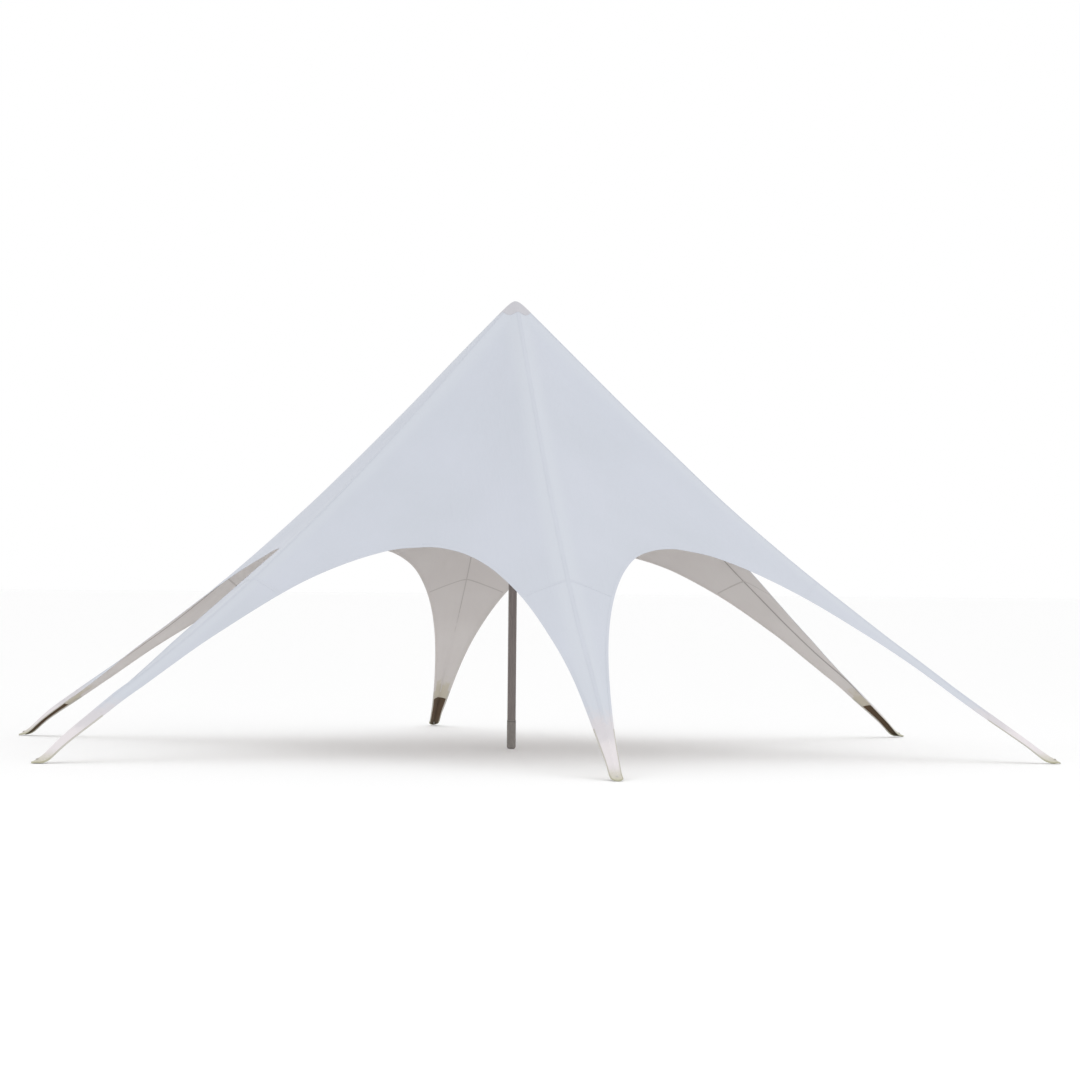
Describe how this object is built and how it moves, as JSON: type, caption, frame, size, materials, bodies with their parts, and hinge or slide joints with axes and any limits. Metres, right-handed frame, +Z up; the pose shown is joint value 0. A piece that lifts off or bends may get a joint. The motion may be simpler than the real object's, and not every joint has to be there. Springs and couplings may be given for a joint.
{
  "type": "star tent",
  "caption": "Star-shaped event tent: a pole in the middle carries a stretched white canopy, open all round, whose long legs are pegged to the ground.",
  "frame": {"origin": "middle of the pole's foot at ground level, under the apex", "axes": "+Z up along the pole; leg 1 points along -Y and leg 4 along +Y; the arches right and left of the pole are centred on +X and -X"},
  "size_m": [8.7156, 10.04, 4.0358],
  "materials": {
    "canopy_white": "coated canvas, satin",
    "tip_white": "doubled canvas, satin",
    "lining_brown": "matt",
    "pole_grey": "anodised, satin",
    "foot_grey": "matt",
    "peg_steel": "galvanised"
  },
  "bodies": {
    "root": {"canopy_panel_1": "canopy_white", "canopy_panel_2": "canopy_white", "canopy_panel_3": "canopy_white", "canopy_panel_4": "canopy_white", "canopy_panel_5": "canopy_white", "canopy_panel_6": "canopy_white", "leg_panel_1": "canopy_white", "leg_panel_2": "canopy_white", "leg_panel_3": "canopy_white", "leg_panel_4": "canopy_white", "leg_panel_5": "canopy_white", "leg_panel_6": "canopy_white", "leg_tip_1": "tip_white", "leg_tip_2": "tip_white", "leg_tip_3": "tip_white", "leg_tip_4": "tip_white", "leg_tip_5": "tip_white", "leg_tip_6": "tip_white", "tip_lining_1": "lining_brown", "tip_lining_2": "lining_brown", "tip_lining_3": "lining_brown", "tip_lining_4": "lining_brown", "tip_lining_5": "lining_brown", "tip_lining_6": "lining_brown", "ground_peg_1": "peg_steel", "ground_peg_2": "peg_steel", "ground_peg_3": "peg_steel", "ground_peg_4": "peg_steel", "ground_peg_5": "peg_steel", "ground_peg_6": "peg_steel", "apex_cap": "tip_white", "pole_head": "pole_grey", "pole_upper_section": "pole_grey", "pole_middle_section": "pole_grey", "pole_lower_section": "pole_grey", "pole_foot": "foot_grey"}
  },
  "joints": []
}
